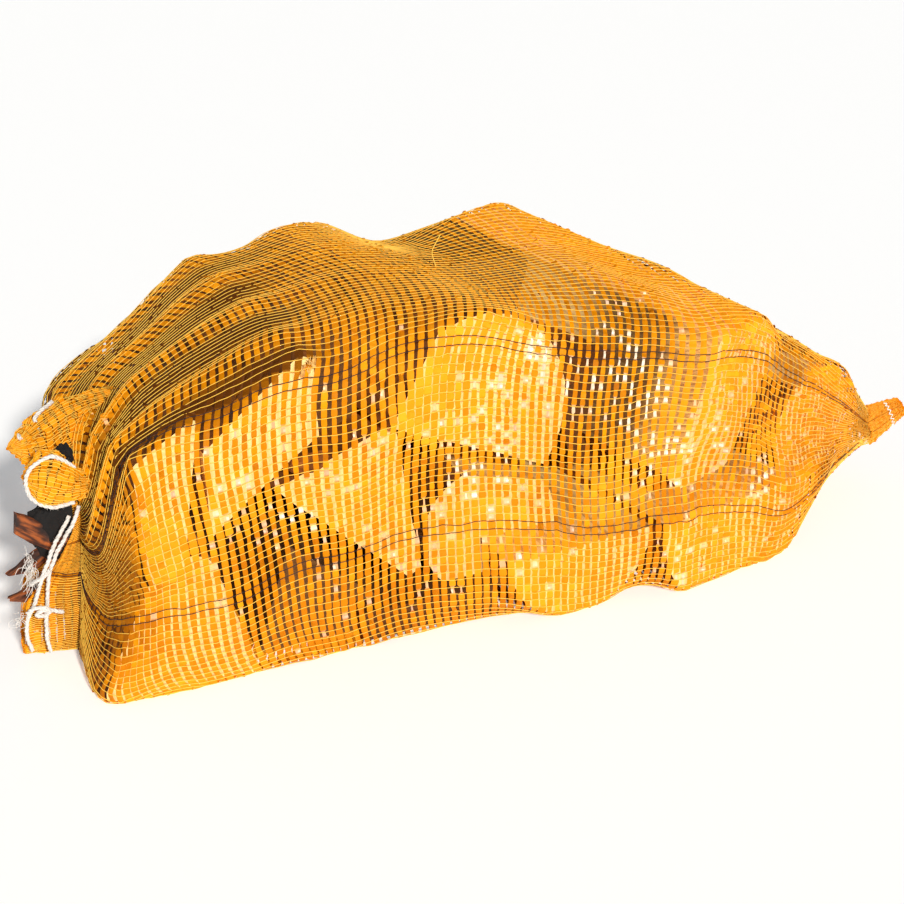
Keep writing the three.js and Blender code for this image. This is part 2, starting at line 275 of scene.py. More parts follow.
# drawstring of three soft twisted strands
drawstring = {"plies": 3, "plyRadius": 0.78, "plyReach": 0.74, "swell": 0.3, "twist": 11.0,
              "wander": 0.6, "settled": 6.0, "hairs": 5.0, "hairThick": 0.07,
              "long": [(-321, -64, 125), (-326, -67, 115), (-333, -70, 107), (-342, -72, 94),
                       (-348, -73, 80), (-352, -73, 57), (-355, -73, 35), (-354, -73, 20)],
              "short": [(-328, -61, 117), (-335, -66, 109), (-343, -71, 99), (-353, -73, 79),
                        (-360, -73, 61), (-366, -73, 50), (-368, -73, 36), (-366, -73, 24)]}


def drawstringFinish():
    finish = Finish("drawstringWhite", Roughness=0.85)
    shade = finish.mark("shadeOfPly")
    return finish.put(Base_Color=finish.blend(shown(184, 176, 167), shown(240, 235, 228), shade))


stringMaterial = drawstringFinish()


def stringPiece(name, points, faces, shades):
    piece = pieceFrom(name, points, faces, [stringMaterial], {"shadeOfPly": np.array(shades)})
    return piece


def twistedString(name, line, seed):
    dice = random.Random(seed)
    points, faces = [], []
    aside, above = lineFrames(line)
    length = lineLength(line)
    run = np.linspace(0, length, len(line))
    sway = np.array([[noise.noise(Vector((s * 0.13, k * 7.1, seed))) for k in range(3)] for s in run])
    held = np.minimum(run, length - run)[:, None].clip(0, drawstring["settled"]) / drawstring["settled"]
    line = line + sway * drawstring["wander"] * held
    for ply in range(drawstring["plies"]):
        turn = run / drawstring["twist"] * 2 * math.pi + ply * 2 * math.pi / drawstring["plies"]
        out = np.cos(turn)[:, None] * aside + np.sin(turn)[:, None] * above
        swell = np.array([noise.noise(Vector((s * 0.4, ply * 3.3, seed + 5))) for s in run])
        radii = drawstring["plyRadius"] * (1 + drawstring["swell"] * swell)
        tubeAlong(line + drawstring["plyReach"] * out, radii, 6, points, faces)
    shades = [dice.uniform(0.3, 1.0) for point in points]
    for hair in range(int(length * drawstring["hairs"])):
        i = dice.randrange(1, len(line) - 1)
        turn = dice.uniform(0, 2 * math.pi)
        out = math.cos(turn) * aside[i] + math.sin(turn) * above[i]
        way = unit(np.array([dice.gauss(0, 0.5) for k in range(3)]) + out)
        root = line[i] + out * 1.2
        tip = root + way * dice.uniform(0.8, 2.4)
        flat = unit(np.cross(way, [0.3, 0.5, 0.8])) * drawstring["hairThick"]
        n = len(points)
        points.extend([root - flat, root + flat, tip])
        faces.append((n, n + 1, n + 2))
        shades.extend([0.9, 0.9, 1.0])
    return stringPiece(name, points, faces, shades)


def hangingEnds():
    for label, node, seed in (("long", "drawstring_end_long", 3), ("short", "drawstring_end_short", 5)):
        line = curvePoints(drawstring[label], 70)
        piece = twistedString("drawstring_" + label, line, seed)
        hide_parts(node)


hangingEnds()
print("cords hung")

# the pile, each log by its front middle, radius, split faces as (turn, reach) and lie
logLength = 256.0
frontPlane = -128.0
logFacets = 24
# a recessed log may be darkened with painted shade, as a whole or on one split side
logPile = [
    {"at": (-271, 150), "radius": 56, "splits": [(347, 15), (180, 24), (117, 36), (290, 46)],
     "setback": 0, "swing": 5, "lift": -10, "barkSplits": (1, 2)},
    {"at": (-210, 178), "radius": 68, "splits": [(0, 42), (129, 26), (306, 26), (180, 38)],
     "setback": 0, "swing": 2, "lift": -3, "barkSplits": (1,)},
    {"at": (-277, 41.5), "radius": 67, "splits": [(270, 40), (154, 34), (17, 46), (116, 56), (36, 58)],
     "setback": 0, "swing": 0, "lift": 0, "barkSplits": (1,)},
    {"at": (-157, 39.5), "radius": 72, "splits": [(270, 38), (163, 44), (49, 15)],
     "setback": 22, "swing": 0, "lift": 0, "paintedShade": 0.93},
    {"at": (-137, 122), "radius": 78, "splits": [(109, 44), (9, 32), (226, 30)],
     "setback": 0, "swing": 3, "lift": 0, "barkSplits": (0, 1)},
    {"at": (-55, 165), "radius": 80, "splits": [(244, 18), (146, 66)],
     "setback": 0, "swing": 12, "lift": -1.5, "barkSplits": (1,)},
    {"at": (-33, 65), "radius": 50, "splits": [(180, 46), (75, 42), (250, 42)],
     "setback": 22, "swing": 0, "lift": 0, "shown": {"radius": 54, "splits": [(180, 50), (75, 42)]}},
    {"at": (24, 61.5), "radius": 62, "splits": [(270, 60), (90, -2)],
     "setback": -18, "swing": 4, "lift": 0},
    {"at": (78, 128), "radius": 50, "splits": [(200, 40), (20, 40)],
     "setback": 56, "swing": 12, "lift": 8, "paintedShade": 0.97},
    {"at": (150, 140), "radius": 72, "splits": [(164, 46), (338, 54), (90, 66), (262, 64)],
     "setback": 2, "swing": 27, "lift": 8.3, "paintedSideShade": (0, (28, 46, 88, 125))},
    {"at": (162, 55.5), "radius": 76, "splits": [(270, 54), (90, 11)],
     "setback": -14, "swing": 12, "lift": 0},
    {"at": (258, 90), "radius": 50, "splits": [(100, 46), (280, 48)],
     "setback": 34, "swing": 20, "lift": 0}]
# billets that fill the hollows between and under the logs, darkened with painted shade
shadedDeepBillets = [
    {"at": (-150, 180), "radius": 56, "splits": [(250, 20)],
     "setback": 34, "swing": 6, "lift": 0, "paintedShade": 0.95},
    {"at": (8, 206), "radius": 46, "splits": [(90, 38)],
     "setback": 126, "swing": 12, "lift": 0, "paintedShade": 0.9},
    {"at": (-88, 16), "radius": 54, "splits": [(90, 12), (270, 14)],
     "setback": 4, "swing": 0, "lift": 0, "paintedShade": 0.97}]
# a log may show fuller than the net is pulled over it
shownPile = [{**log, **log.get("shown", {})} for log in logPile]


def logFrame(log):
    swing = math.radians(log["swing"])
    lift = math.radians(log["lift"])
    along = np.array([-math.sin(swing) * math.cos(lift), math.cos(swing) * math.cos(lift), math.sin(lift)])
    across = np.array([math.cos(swing), math.sin(swing), 0.0])
    front = np.array([log["at"][0], frontPlane + log["setback"], log["at"][1]], float)
    return front, along, across, np.cross(across, along), logLength - max(0, log["setback"])


# a log as planes: inside where every normal times point is below its offset
def logPlanes(log):
    front, along, across, above, length = logFrame(log)
    normals, offsets = [-along, along], [-np.dot(along, front), np.dot(along, front) + length]
    turns = [(k * 360 / logFacets, log["radius"]) for k in range(logFacets)]
    for turn, reach in turns + log["splits"]:
        angle = math.radians(turn)
        normal = across * math.cos(angle) + above * math.sin(angle)
        normals.append(normal)
        offsets.append(np.dot(normal, front) + reach)
    return np.array(normals), np.array(offsets)


def slabPlanes(slab):
    normals = np.vstack([-np.eye(3), np.eye(3)])
    return normals, np.concatenate([-np.array(slab["low"], float), np.array(slab["high"], float)])


# the net sack pulled over the pile, gathered at the mouth and at the tail
netForm = {"columns": 240, "mouthFan": 17, "bodyRows": 72, "tailFan": 20, "pulls": 900, "gap": 1.2,
           "threads": 166, "relaxing": 14, "relaxShare": 0.4, "least": 30.0, "fanShare": 0.8,
           "tapePitch": 6.6, "tapeWidth": 5.1, "tapeThick": 0.16, "threadRadius": 0.3,
           "middle": (0.0, 108.0), "mouthFocus": (-238, -12, 106), "tailFocus": (250, -24, 80),
           "mouthNeck": {"centre": (-325, -50, 64), "tall": 57, "flat": 8, "slant": -8, "lean": 6,
                         "square": 0},
           "tailNeck": {"centre": (347, -50, 50), "tall": 20, "flat": 7, "slant": 6, "lean": 0,
                        "square": 0.6}}
floorSlack = {"low": (-215, -127, 1.5), "high": (20, 96, 13)}  # loose net that lies on the floor
topDip = {"at": (-45, 92), "turn": 18, "along": 66, "across": 24, "depth": 15}  # sag between two logs
collar = {"rows": 7, "reach": 6, "skirt": 32, "skirtFrom": -0.25, "skirtTo": 0.75, "flare": 6, "rise": 6,
          "ruffles": 11, "ruffleDepth": 2, "wall": 2.2, "hem": (0.7, 0.85, 0.97), "folds": 14.0,
          "foldDepth": 2.0}  # loose net past the neck
tail = {"rows": 7, "reach": 38, "rise": 14, "tall": 8, "flat": 4}

netStops = [logPlanes(log) for log in logPile] + [slabPlanes(floorSlack)]
shownPlanes = [logPlanes(log) for log in shownPile]


def neckPoints(neck, angles, inset=0.0, swell=0.0):
    rise = np.sin(angles)
    y = neck["lean"] * rise + (neck["flat"] + swell - inset) * np.cos(angles)
    offset = np.stack([-neck["slant"] * rise, y, (neck["tall"] - inset) * rise], axis=1)
    return np.array(neck["centre"], float) + offset


def neckRing(neck, focus, angles):
    centre = np.array(neck["centre"], float)
    axis = unit(centre - focus)
    ring = neckPoints(neck, angles)
    return ring - neck["square"] * ((ring - centre) @ axis)[:, None] * axis


# farthest reach of each ray through the pile
def rayStops(starts, ways):
    best = np.zeros(len(starts))
    for normals, offsets in netStops:
        towards = ways @ normals.T
        room = offsets + netForm["gap"] - starts @ normals.T
        with np.errstate(divide="ignore", invalid="ignore"):
            meet = room / towards
        enter = np.where(towards < -1e-9, meet, -np.inf).max(axis=1)
        leave = np.where(towards > 1e-9, meet, np.inf).min(axis=1)
        shut = np.any((np.abs(towards) <= 1e-9) & (room < 0), axis=1)
        best = np.where((enter < leave) & (leave > best) & ~shut, leave, best)
    return best


# rays out of the sack: a fan to each neck, and spokes all along between them
def fanRays(label, angles, spokes):
    focus = np.array(netForm[label + "Focus"], float)
    ring = neckRing(netForm[label + "Neck"], focus, angles)
    towards = unit(ring - focus)
    count = netForm[label + "Fan"]
    fan = [(np.broadcast_to(focus, spokes.shape), unit(mix(towards, spokes, share)))
           for share in np.arange(1, count) / count]
    return [(ring, spokes * 0)] + fan


def sackRays():
    angles = np.arange(netForm["columns"]) * 2 * math.pi / netForm["columns"]
    spokes = np.stack([np.zeros_like(angles), np.cos(angles), np.sin(angles)], axis=1)
    mouth, end = (np.array(netForm[label], float) for label in ("mouthFocus", "tailFocus"))
    body = []
    for x in np.linspace(mouth[0], end[0], netForm["bodyRows"]):
        share = (x - mouth[0]) / (end[0] - mouth[0])
        centre = np.array([x, *netForm["middle"]])
        centre = mix(centre, mouth, eased(1 - share, netForm["fanShare"], 1))
        centre = mix(centre, end, eased(share, netForm["fanShare"], 1))
        centre[0] = x
        body.append((np.broadcast_to(centre, spokes.shape), spokes))
    rays = fanRays("mouth", angles, spokes) + body + fanRays("tail", angles, spokes)[::-1]
    return np.array([start for start, way in rays]), np.array([way for start, way in rays])


def neighbours(places):
    beside = np.roll(places, 1, axis=1)[1:-1] + np.roll(places, -1, axis=1)[1:-1]
    return (beside + places[2:] + places[:-2]) / 4


# the net draws in like a stretched skin until the pile holds it
def pulledNet():
    starts, ways = sackRays()
    stops = rayStops(starts.reshape(-1, 3), ways.reshape(-1, 3)).reshape(ways.shape[:2])
    reach = np.maximum(stops, netForm["least"])
    down = ways[..., 2]
    floorStop = np.where(down < -1e-6, -starts[..., 2] / np.minimum(down, -1e-6), np.inf)
    reach[0] = 0
    reach[-1] = 0
    places = starts + ways * reach[..., None]
    for pull in range(netForm["pulls"]):
        wanted = dots(neighbours(places) - starts[1:-1], ways[1:-1])
        held = np.minimum(np.maximum(wanted, stops[1:-1]), floorStop[1:-1])
        places[1:-1] = starts[1:-1] + ways[1:-1] * held[..., None]
    reach = dots(places - starts, ways) - sagAt(places)
    places[1:-1] = (starts + ways * np.maximum(reach, stops)[..., None])[1:-1]
    return places


def sagAt(places):
    turn = math.radians(topDip["turn"])
    x = places[..., 0] - topDip["at"][0]
    y = places[..., 1] - topDip["at"][1]
    along = (math.cos(turn) * y - math.sin(turn) * x) / topDip["along"]
    across = (math.cos(turn) * x + math.sin(turn) * y) / topDip["across"]
    high = places[..., 2] > netForm["middle"][1]
    return high * topDip["depth"] * np.exp(-along ** 2 - across ** 2)


def pushedOut(places):
    flat = places.reshape(-1, 3).copy()
    for normals, offsets in netStops:
        depth = flat @ normals.T - (offsets + netForm["gap"])
        near = depth.argmax(axis=1)
        deepest = depth[np.arange(len(flat)), near]
        inside = deepest < 0
        flat[inside] -= normals[near[inside]] * deepest[inside][:, None]
    flat[:, 2] = np.maximum(flat[:, 2], 0.3)
    return flat.reshape(places.shape)


# threads at even steps round each ring, from its lowest point
def evenRings(places, count):
    rings = []
    lowest = netForm["columns"] * 3 // 4
    for ring in places:
        loop = np.roll(ring, -lowest, axis=0)
        rings.append(evenLine(np.vstack([loop, loop[:1]]), count + 1)[:-1])
    return np.array(rings)


def relaxed(places):
    for turn in range(netForm["relaxing"]):
        places[1:-1] = mix(places[1:-1], neighbours(places), netForm["relaxShare"])
        places[1:-1] = pushedOut(places[1:-1])
    return places


# tapes sit at even steps along every thread, from neck to tail
def evenTapes(places, pitch):
    steps = np.linalg.norm(np.diff(places, axis=0), axis=2)
    run = np.vstack([np.zeros(places.shape[1]), np.cumsum(steps, axis=0)])
    count = int(run[-1].mean() / pitch)
    share = run / run[-1]
    wave = np.fft.fftfreq(places.shape[1])[None, :]
    share = np.fft.ifft(np.fft.fft(share, axis=1) * np.exp(-(wave * 22) ** 2), axis=1).real
    spots = np.linspace(0, 1, count)
    rows = np.arange(places.shape[0])
    even = np.zeros((count, places.shape[1], 3))
    for j in range(places.shape[1]):
        at = np.interp(spots, share[:, j], rows)
        for k in range(3):
            even[:, j, k] = np.interp(at, rows, places[:, j, k])
    return even


def collarRow(angles, share, inside):
    rise = np.sin(angles)
    skirt = 1 - eased(rise, collar["skirtFrom"], collar["skirtTo"])
    ruffle = collar["ruffleDepth"] * np.cos(collar["ruffles"] * angles)
    inset = collar["wall"] if inside else 0.0
    points = neckPoints(netForm["mouthNeck"], angles, inset, (collar["flare"] + ruffle) * share)
    points[:, 0] -= (collar["reach"] + collar["skirt"] * skirt) * share
    points[:, 2] += collar["rise"] * np.maximum(0, -rise) * share
    points[:, 1] += np.sign(np.cos(angles)) * collarFold(angles, share) * collar["foldDepth"] * skirt
    return points


def collarFold(angles, share):
    return np.sin(share * collar["folds"] + 1.6 * np.sin(angles * 5) + 0.8 * np.sin(angles * 11)) * share


# angles at even steps round a neck, from its lowest point
def evenAngles(label):
    fine = np.linspace(-math.pi / 2, 3 * math.pi / 2, 1441)
    run = lineRun(neckRing(netForm[label + "Neck"], np.array(netForm[label + "Focus"], float), fine))
    return np.interp(np.linspace(0, run[-1], netForm["threads"] + 1)[:-1], run, fine)


def tailRow(angles, share):
    neck = netForm["tailNeck"]
    tall = mix(neck["tall"], tail["tall"], share)
    flat = mix(neck["flat"], tail["flat"], share)
    centre = np.array(neck["centre"], float) + np.array([tail["reach"], 0, tail["rise"]]) * share
    rise = np.sin(angles)
    return centre + np.stack([-neck["slant"] * rise, flat * np.cos(angles), tall * rise], axis=1)


# rows from the turned-in hem over the collar, the body and the tail
def netGrid():
    body = relaxed(evenRings(pulledNet(), netForm["threads"]))
    body = evenTapes(body, netForm["tapePitch"])
    angles = evenAngles("mouth")
    shares = np.linspace(1, 0, collar["rows"] + 1)[:-1]
    inner = [collarRow(angles, share, True) for share in collar["hem"]]
    outer = [collarRow(angles, share, False) for share in shares]
    folds = [collarFold(angles, share) for share in (*collar["hem"], *shares)]
    angles = evenAngles("tail")
    rear = [tailRow(angles, share) for share in np.linspace(0, 1, tail["rows"] + 1)[1:]]
    return np.concatenate([inner + outer, body, rear]), len(inner) + len(outer), np.array(folds)


netPlaces, neckAt, skirtFolds = netGrid()
print("net pulled over the pile", netPlaces.shape)


# lengthwise, girthwise and outward at each crossing of the net
def netDirections(places):
    lengthwise = unit(np.gradient(places, axis=0))
    girthwise = unit(np.roll(places, -1, axis=1) - np.roll(places, 1, axis=1))
    return lengthwise, girthwise, unit(np.cross(girthwise, lengthwise))


# gathers near the mouth, in threads round the girth and millimetres from the neck
gathers = {"ridges": 14, "depth": 8.0, "valley": 0.3, "middle": 88, "spread": 34, "end": (102, 109),
           "start": 40, "length": 300, "small": 83, "smallDepth": 1.3, "smallStart": 20,
           "smallLength": 120}
# slack of the weave, which grows along the sack from one x to another
slackNet = {"from": 20, "to": 130, "least": 0.3, "clear": 0.4, "billow": 2.4, "drift": 0.4}
# the marker threads wander along the front: (row from the hem, thread)
markerRuns = {"upper": [(10, 105), (36, 106.4), (46, 107.3), (56, 105.3), (64, 105.4), (76, 103.6),
                        (85, 105.3), (94, 103.3), (104, 105.5), (112, 110.3), (120, 111.1), (135, 109)],
              "lower": [(0, 112), (4, 116), (8, 121), (12, 123), (16, 121), (20, 122.5), (24, 125.6),
                        (28, 129.1), (32, 131.4), (40, 130.9), (48, 129.8), (56, 128.5), (64, 128.8),
                        (76, 126.2), (86, 127.8), (95, 125.9), (104, 127.9), (112, 132.3), (120, 133),
                        (135, 131)]}
markerThreads = [106, 107, 130, 131]


def threadDrift(rows, columns):
    upper, lower = (np.interp(np.arange(rows), *np.array(markerRuns[label]).T) for label in markerRuns)
    upper = upper - sum(markerThreads[:2]) / 2
    lower = lower - sum(markerThreads[2:]) / 2
    anchors = (0, 70, markerThreads[0], markerThreads[2], 149, columns)
    shifts = [(0, 0, u, v, v / 2, 0) for u, v in zip(upper, lower)]
    return np.array([np.interp(np.arange(columns), anchors, shift) for shift in shifts])


def workedNet(places):
    shape = places.shape[:2]
    stepped = np.linalg.norm(np.diff(places, axis=0), axis=2).mean(axis=1)
    run = np.concatenate([[0], np.cumsum(stepped)])
    fromNeck = (run - run[neckAt])[:, None]
    thread = np.arange(shape[1])[None, :]
    turn = thread * 2 * math.pi / shape[1]
    drift = softField(shape, 46, 20, 7) * 1.2
    gather = np.clip(fromNeck / gathers["start"], 0, 1) * np.clip(1.1 - fromNeck / gathers["length"], 0, 1)
    overTop = np.exp(-((thread - gathers["middle"]) / gathers["spread"]) ** 2)
    overTop = overTop * (1 - eased(thread, *gathers["end"]))
    wave = (np.sin(turn * gathers["ridges"] + drift) - gathers["valley"]) * gather * overTop
    ridge = np.maximum(wave, 0) / (1 - gathers["valley"])
    small = np.maximum(np.sin(turn * gathers["small"] + drift * 2), 0)
    small = small * np.clip(1 - fromNeck / gathers["smallLength"], 0, 1)
    small = small * gathers["smallDepth"] * np.clip(fromNeck / gathers["smallStart"], 0, 1)
    slack = mix(slackNet["least"], 1.0, eased(places[..., 0], slackNet["from"], slackNet["to"]))
    billow = np.maximum(softField(shape, 6, 8, 8), 0) * slackNet["billow"] * slack
    lift = ridge * gathers["depth"] + small + slackNet["clear"] + billow
    lift[:neckAt + 1] = 0
    lift[-tail["rows"] - 1:] = 0
    loose = places + netDirections(places)[2] * lift[..., None]
    slack[:neckAt + 2] = 0
    slack[-tail["rows"] - 2:] = 0
    slack = slack * slackNet["drift"]
    shiftRows = softField(shape, 10, 12, 9) * 0.22 + softField(shape, 5, 9, 11) * slack
    shiftColumns = softField(shape, 14, 8, 10) * 0.3 + threadDrift(*shape)
    shiftColumns = shiftColumns + softField(shape, 8, 5, 12) * slack
    return sampledGrid(loose, shiftRows, shiftColumns), wave


def sampledGrid(places, shiftRows, shiftColumns):
    rows, columns = places.shape[:2]
    u = np.clip(np.arange(rows)[:, None] + shiftRows, 0, rows - 1.001)
    v = np.arange(columns)[None, :] + shiftColumns
    low = np.floor(u).astype(int)
    left = np.floor(v).astype(int)
    s = (u - low)[..., None]
    t = (v - left)[..., None]
    left, right = left % columns, (left + 1) % columns
    upper = mix(places[low, left], places[low, right], t)
    under = mix(places[low + 1, left], places[low + 1, right], t)
    return mix(upper, under, s)


netPlaces, netRidges = workedNet(netPlaces)
netPlaces[..., 2] = np.maximum(netPlaces[..., 2], 0.6)


def tapeFinish():
    finish = Finish("netTape", Alpha=0.94, Specular_IOR_Level=0.06, Roughness=0.5, Coat_Roughness=0.28)
    cell, paintedLightAndShade, glossAndPaintedGlint = (finish.mark(label) for label in ("cell", "paintedLightAndShade", "glossAndPaintedGlint"))
    # painted light and painted shade: the tape runs from a painted shade brown over a dim copy to a lit
    # copy
    shadedTape = finish.blend(shown(178, 100, 0), shown(232, 147, 0), cell)
    lit = finish.blend(shown(240, 144, 12), shown(250, 173, 32), cell)
    hue = finish.blend(finish.blend(shown(98, 52, 9), shadedTape, paintedLightAndShade + 1.0), lit, paintedLightAndShade)
    # painted highlight: glint cells are blended towards white, besides their real coat
    hue = finish.blend(hue, shown(255, 246, 224), glossAndPaintedGlint * 0.7)
    return finish.put(Base_Color=hue, Coat_Weight=glossAndPaintedGlint)


def threadFinish(name, colour, roughness):
    return Finish(name, Base_Color=colour, Roughness=roughness, Specular_IOR_Level=0.2).material


tapeMaterial = tapeFinish()
threadMaterial = threadFinish("netThread", shown(255, 203, 82), 0.5)
markerMaterial = threadFinish("netMarker", shown(44, 38, 44), 0.6)
# painted light of wood shining through the tape, less from bark and from a split side in painted shade,
# fading over so many millimetres
shine = {"bark": 0.6, "sideShadeLoss": 0.7, "sideShadeStrength": 0.8, "fade": 9.0}


# painted shade darkens one split side between two depths
def sideShadeAt(log, depth):
    nearLow, nearHigh, farLow, farHigh = log["paintedSideShade"][1]
    return shine["sideShadeStrength"] * eased(depth, nearLow, nearHigh) * (1 - eased(depth, farLow, farHigh))


# how near pale wood lies behind the net, which sets the painted light of the tape colour
def woodBehind(places):
    flat = places.reshape(-1, 3)
    nearest = np.full(len(flat), np.inf)
    pale = np.zeros(len(flat))
    firstSplit = 2 + logFacets
    for log, (normals, offsets) in zip(shownPile, shownPlanes):
        depth = flat @ normals.T - offsets
        side = depth.argmax(axis=1)
        gap = depth.max(axis=1)
        closer = gap < nearest
        nearest = np.where(closer, gap, nearest)
        bark = (side >= 2) & (side < firstSplit)
        bark = bark | np.isin(side, [firstSplit + k for k in log.get("barkSplits", ())])
        paleness = np.where(bark, shine["bark"], 1.0)
        if "paintedSideShade" in log:
            front, along = logFrame(log)[:2]
            sideShaded = 1 - shine["sideShadeLoss"] * sideShadeAt(log, (flat - front) @ along)
            paleness = np.where(side == firstSplit + log["paintedSideShade"][0], sideShaded, paleness)
        pale = np.where(closer, paleness, pale)
    faded = np.exp(-np.maximum(nearest - netForm["gap"], 0) / shine["fade"])
    return (pale * faded).reshape(places.shape[:2])


# cells of tape that are turned to the light and get a painted white highlight, in patches: (middle,
# radius, share of the cells)
glints = {"way": (-0.19, -0.86, 0.48), "fan": -0.00045, "spread": 0.07, "turn": 0.7, "share": 0.018,
          "cloud": 0.2, "cloudFrom": 0.9, "overDark": 0.2, "amount": 0.95, "gain": 3.2, "faint": 0.35,
          "patches": [((73, -132, 162), 34, 0.4), ((59, -109, 194), 24, 0.4), ((84, -149, 110), 24, 0.3),
                      ((12, -124, 181), 22, 0.4), ((-10, -119, 214), 16, 0.3), ((62, -71, 219), 20, 0.3),
                      ((104, -70, 220), 22, 0.3), ((-187, -135, 125), 22, 0.3),
                      ((-60, -139, 130), 30, 0.35), ((180, -139, 77), 22, 0.25),
                      ((-225, -133, 170), 30, 0.22), ((-129, -137, 159), 22, 0.2),
                      ((-254, -135, 140), 20, 0.2), ((-45, -135, 185), 26, 0.25),
                      ((130, -143, 125), 24, 0.25), ((-105, -115, 227), 12, 0.3)]}


def distances(places, centre):
    return np.linalg.norm(places - np.array(centre, float), axis=2)


def glintShare(places, wood, seed):
    cloud = np.clip(softField(places.shape[:2], 8, 12, seed) - glints["cloudFrom"], 0, 1) * glints["cloud"]
    share = (glints["share"] + cloud) * mix(glints["overDark"], 1.0, wood)
    for centre, radius, amount in glints["patches"]:
        share = share + glints["amount"] * amount * np.exp(-(distances(places, centre) / radius) ** 2)
    return share


# tapes run round the girth, flat cells pinched where the threads cross
tapeCells = {"lean": 10, "roll": 0.12, "kink": 22, "kinkShare": 0.15, "pinch": 0.88, "pinchAt": 0.04,
             "stations": (0.3, 0.76), "raise": 0.25, "sink": 0.05, "longest": 7.0, "widest": 0.96,
             "bare": 0.7, "filled": 0.38, "rightSpread": 0.3, "shade": 1.2, "hueSpread": 0.24}


# each cell leans a little, some are kinked, and a few face the light
def cellTops(dice, way, across, upward, middle, chance):
    shape = chance.shape
    kinked = np.sign(dice.normal(size=shape)) * (dice.random(shape) < tapeCells["kinkShare"])
    tilt = np.radians(dice.normal(0, tapeCells["lean"], shape) + tapeCells["kink"] * kinked)
    roll = dice.normal(0, tapeCells["roll"], shape)
    top = unit(upward - across * np.tan(tilt)[..., None] - way * roll[..., None])
    facing = np.array(glints["way"]) + dice.normal(0, glints["spread"], (*shape, 3))
    facing[..., 0] += middle[..., 0] * glints["fan"]
    facing = unit(facing)
    bright = (dice.random(shape) < chance) & (dots(upward, facing) > glints["turn"])
    return np.where(bright[..., None], facing, top), bright


# closed loops of three-cornered rings
def loopFaces(loops, rings):
    base = np.arange(loops)[:, None] * rings
    ring = np.arange(rings)[None, :]
    start = (base + ring) * 3
    following = (base + (ring + 1) % rings) * 3
    sides = [np.stack([start + k, start + n, following + n, following + k], axis=-1)
             for k, n in ((0, 1), (1, 2), (2, 0))]
    return np.stack(sides).reshape(-1, 4)


def tapeLoops(places, first, last, seed, paintedLight):
    dice = np.random.default_rng(seed)
    lengthwise = netDirections(places)[0][first:last]
    here = places[first:last]
    after = np.roll(here, -1, axis=1)
    middle = mix(here, after, 0.5)
    shape = here.shape[:2]
    way = unit(after - here)
    upward = unit(np.cross(way, lengthwise + np.roll(lengthwise, -1, axis=1)))
    across = np.cross(upward, way)
    wood = woodBehind(middle)
    chance = glintShare(middle, wood, seed + 60)
    top, bright = cellTops(dice, way, across, upward, middle, chance)
    along = unit(way - top * dots(way, top)[..., None])
    side = np.cross(top, along)
    # painted light and painted shade of the tape colour: lit over pale wood near behind and on lit spots,
    # shaded below 0
    shaded = mix(wood, -1.0, np.minimum(1, np.abs(paintedLight) * tapeCells["shade"]))
    behind = np.where(paintedLight >= 0, np.maximum(wood, paintedLight), shaded)
    width = netForm["tapeWidth"] * (tapeCells["bare"] + tapeCells["filled"] * np.abs(behind))
    width = width * np.clip(dice.normal(1, 0.09, shape), 0.7, 1.2)
    width = width * (1 + tapeCells["rightSpread"] * eased(middle[..., 0], 130, 240))
    pitch = np.linalg.norm(np.gradient(places, axis=0), axis=2)[first:last]
    half = np.minimum(width, pitch * tapeCells["widest"])[..., None] / 2
    reach = np.minimum(np.linalg.norm(after - here, axis=2), tapeCells["longest"])[..., None]
    half = half * np.where(bright, dice.uniform(0.3, 0.85, shape), 1.0)[..., None]
    reach = reach * np.where(bright, dice.uniform(0.4, 0.95, shape), 1.0)[..., None]
    thick = netForm["tapeThick"]
    pinch = mix(here, after, tapeCells["pinchAt"]) - upward * tapeCells["sink"]
    edge = across * half * tapeCells["pinch"]
    rings = [np.stack([pinch + edge, pinch + upward * thick, pinch - edge], axis=2)]
    for share in tapeCells["stations"]:
        centre = middle + along * reach * (share - 0.5) + upward * tapeCells["raise"]
        rings.append(np.stack([centre + side * half, centre + top * thick, centre - side * half], axis=2))
    points = np.stack(rings, axis=2).reshape(-1, 3)
    warmth = 0.22 + 0.3 * eased(middle[..., 2], 30, 150) - 0.2 * eased(middle[..., 0], 170, 260)
    marks = {"cell": np.clip(dice.normal(warmth, tapeCells["hueSpread"], shape), 0, 1), "paintedLightAndShade": behind,
             "glossAndPaintedGlint": bright * np.clip(chance * glints["gain"], glints["faint"], 1)}
    marks = {label: np.repeat(values.ravel(), 9) for label, values in marks.items()}
    return points, loopFaces(shape[0], shape[1] * 3), marks


# threads run lengthwise over the tapes
def lengthThreads(places, picks, radius, seed):
    dice = np.random.default_rng(seed)
    girthwise, outward = netDirections(places)[1:]
    points, faces = [], []
    rows, columns = places.shape[:2]
    for j in picks:
        room = np.linalg.norm(places[:, (j + 1) % columns] - places[:, j], axis=1)
        wobble = dice.normal(0, 0.05, rows) * room
        line = places[:, j] + outward[:, j] * 0.5 + girthwise[:, j] * wobble[:, None]
        fine = np.minimum(radius, room * 0.16)[:, None]
        base = len(points) * rows * 4
        ring = [line + outward[:, j] * fine, line + girthwise[:, j] * fine,
                line - outward[:, j] * fine, line - girthwise[:, j] * fine]
        points.append(np.stack(ring, axis=1).reshape(-1, 3))
        start = base + np.arange(rows - 1) * 4
        for k in range(4):
            n = (k + 1) % 4
            faces.append(np.stack([start + n, start + k, start + k + 4, start + n + 4], axis=-1))
        end = base + (rows - 1) * 4
        faces.append(np.array([[base, base + 1, base + 2, base + 3], [end + 3, end + 2, end + 1, end]]))
    return np.vstack(points), np.vstack(faces)


def netPiece(name, points, faces, material, marks=None, smooth=True):
    points[:, 2] = np.maximum(points[:, 2], 0.05)
    piece = pieceFrom(name, points, faces.tolist(), [material], marks, smooth=smooth)
    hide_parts("net_of_logs")
    return piece


